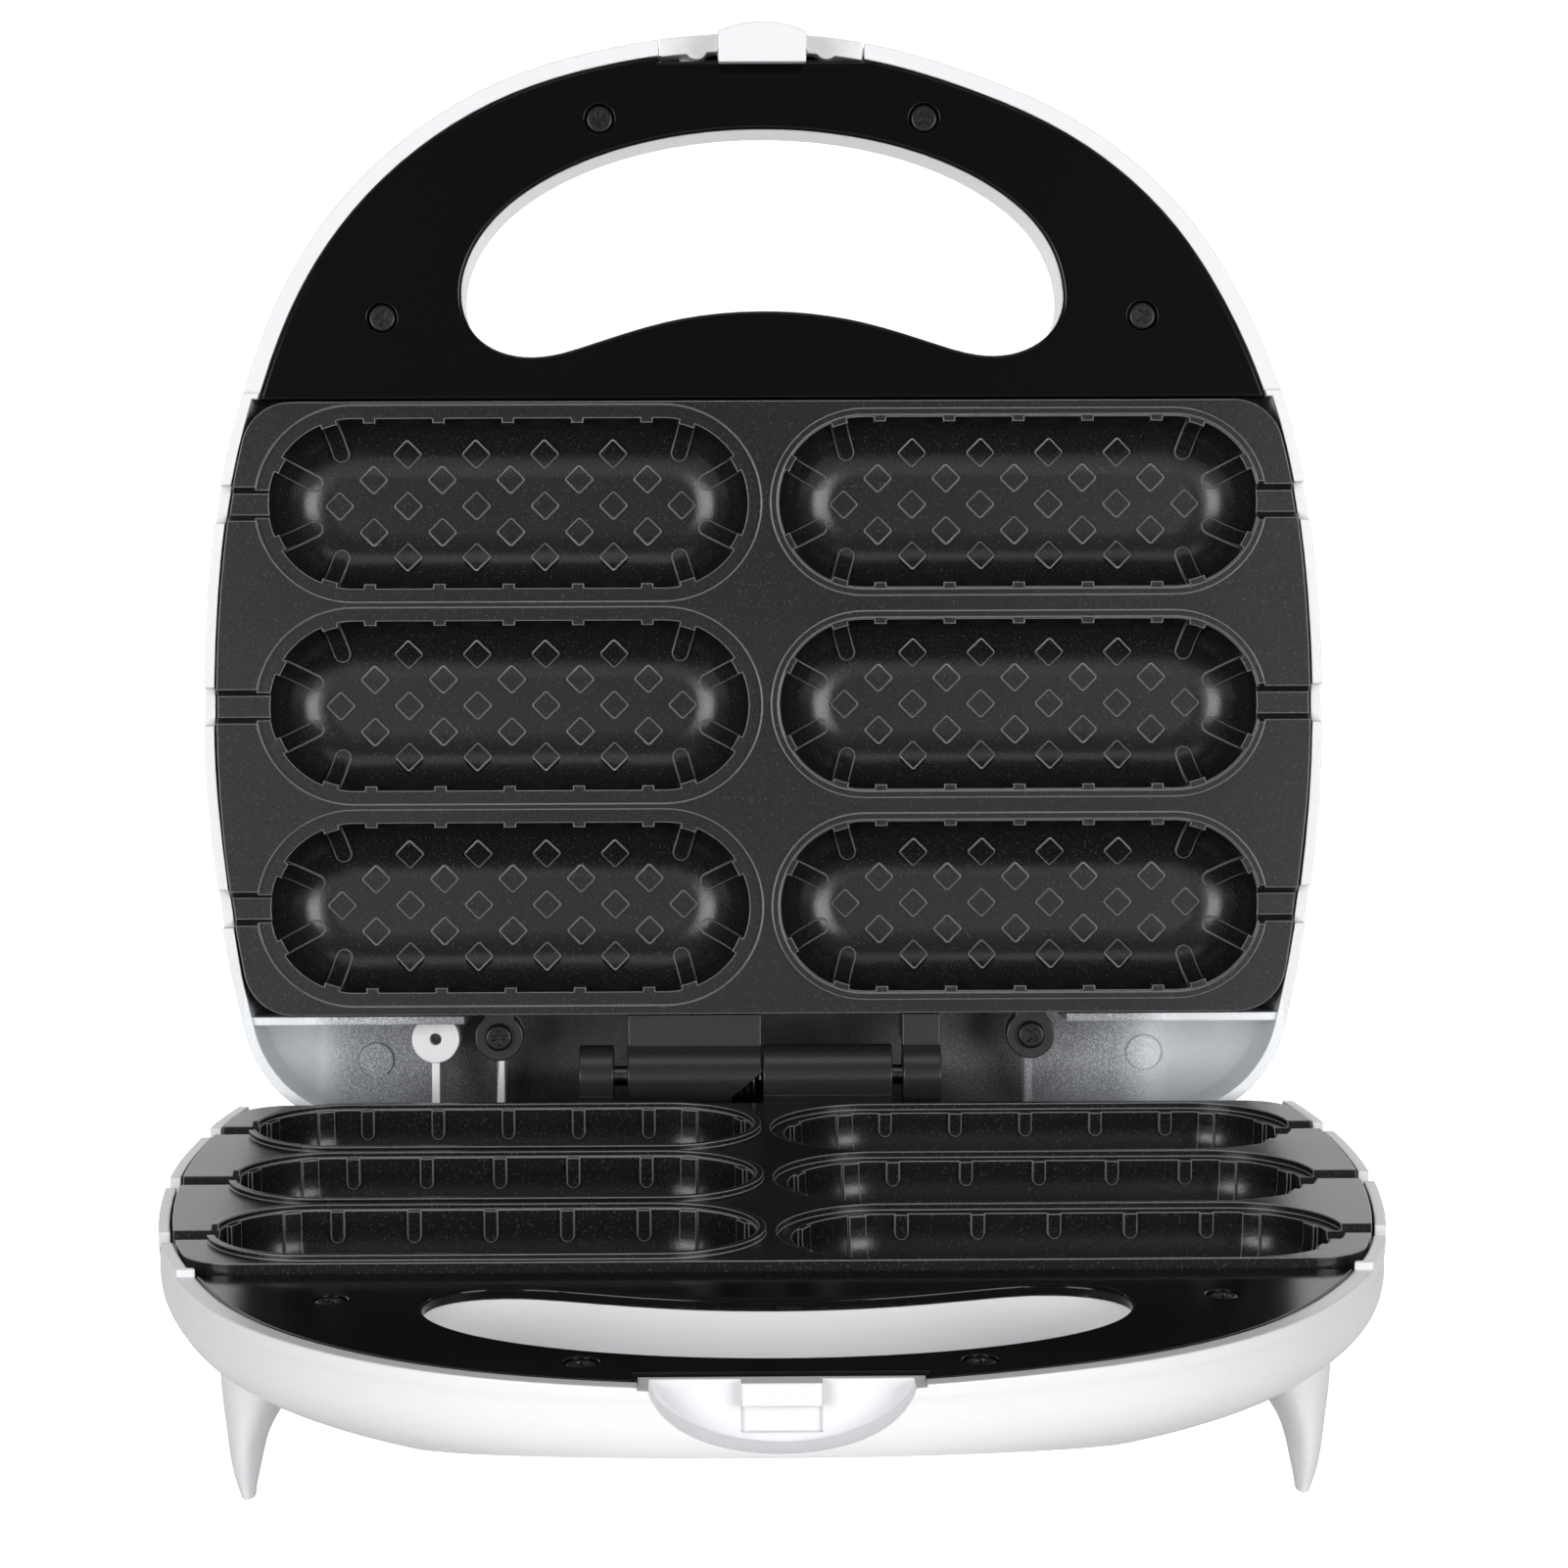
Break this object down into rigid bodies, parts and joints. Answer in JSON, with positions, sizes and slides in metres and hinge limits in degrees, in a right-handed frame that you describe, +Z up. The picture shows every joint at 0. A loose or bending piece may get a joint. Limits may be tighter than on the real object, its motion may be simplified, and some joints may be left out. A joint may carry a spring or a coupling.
{
  "type": "corn dog maker",
  "caption": "Countertop corn dog maker: a white base and hinged lid with moulded cooking plates, black handle liners, finger openings and a front latch.",
  "frame": {"origin": "centre of the bounding box in plan, at the level of the foot tips, with the lid open", "axes": "+Z up, -Y towards the handle of the base (front), +X to the right seen from the front"},
  "size_m": [0.2242, 0.2598, 0.2531],
  "materials": {
    "white_plastic": "glossy moulded white",
    "black_plastic": "smooth moulded black",
    "nonstick_plate": "cast aluminium with a speckled black non-stick coating",
    "heater_sheath": "oxidised steel sheath",
    "ceramic": "unglazed ceramic",
    "tab_metal": "plated steel",
    "reflector_sheet": "rolled sheet",
    "bright_screws": "zinc plated",
    "black_screws": "black oxide",
    "hinge_black": "satin black moulded hinge",
    "pin_steel": "ground steel",
    "spring_steel": "oiled spring wire",
    "gland_plastic": "moulded black",
    "terminal_plastic": "milky moulded",
    "terminal_brass": "turned brass",
    "thermostat_case": "pressed steel",
    "fuse_case": "drawn brass can",
    "lead_sleeve": "woven glass sleeving",
    "red_lens": "clear red plastic",
    "green_lens": "clear green plastic",
    "bulb_glass": "clear glass",
    "holder_plastic": "moulded white"
  },
  "bodies": {
    "base": {"base_shell": "white_plastic", "base_handle_liner": "black_plastic", "base_plate": "nonstick_plate", "base_heater": "heater_sheath", "base_heater_beads": "ceramic", "base_heater_tabs": "tab_metal", "base_reflector": "reflector_sheet", "base_reflector_screws": "bright_screws", "base_plate_screws": "bright_screws", "base_liner_screws": "black_screws", "base_hinge_screws": "black_screws", "base_hinge_bracket": "hinge_black", "hinge_pin": "pin_steel", "hinge_spring": "spring_steel", "cord_gland": "gland_plastic", "terminal_block": "terminal_plastic", "terminal_block_screws": "terminal_brass", "thermostat": "thermostat_case", "thermal_fuse": "fuse_case", "thermal_fuse_clip": "tab_metal", "base_leads": "lead_sleeve"},
    "lid": {"lid_shell": "white_plastic", "lid_handle_liner": "black_plastic", "lid_plate": "nonstick_plate", "lid_heater": "heater_sheath", "lid_heater_beads": "ceramic", "lid_heater_tabs": "tab_metal", "lid_reflector": "reflector_sheet", "lid_reflector_screws": "bright_screws", "lid_plate_screws": "bright_screws", "lid_liner_screws": "black_screws", "lid_hinge_screws": "black_screws", "lid_hinge_bracket": "hinge_black", "latch_pin": "pin_steel", "latch_spring": "spring_steel", "power_lamp_lens": "red_lens", "ready_lamp_lens": "green_lens", "lamp_bulbs": "bulb_glass", "lamp_holder": "holder_plastic", "lid_leads": "lead_sleeve"},
    "latch": {"latch": "white_plastic"}
  },
  "joints": [
    {"name": "lid_hinge", "type": "hinge", "parent": "base", "child": "lid", "pos_m": [0, 0.0782, 0.0437], "axis": [1, 0, 0], "range_deg": [0, 98]},
    {"name": "latch_pivot", "type": "hinge", "parent": "lid", "child": "latch", "pos_m": [0, 0.11586, 0.24482], "axis": [-1, 0, 0], "range_deg": [0, 9], "stiffness_Nm_per_rad": 0.02, "springref_deg": -20.05, "deforming": ["latch_spring"]}
  ]
}
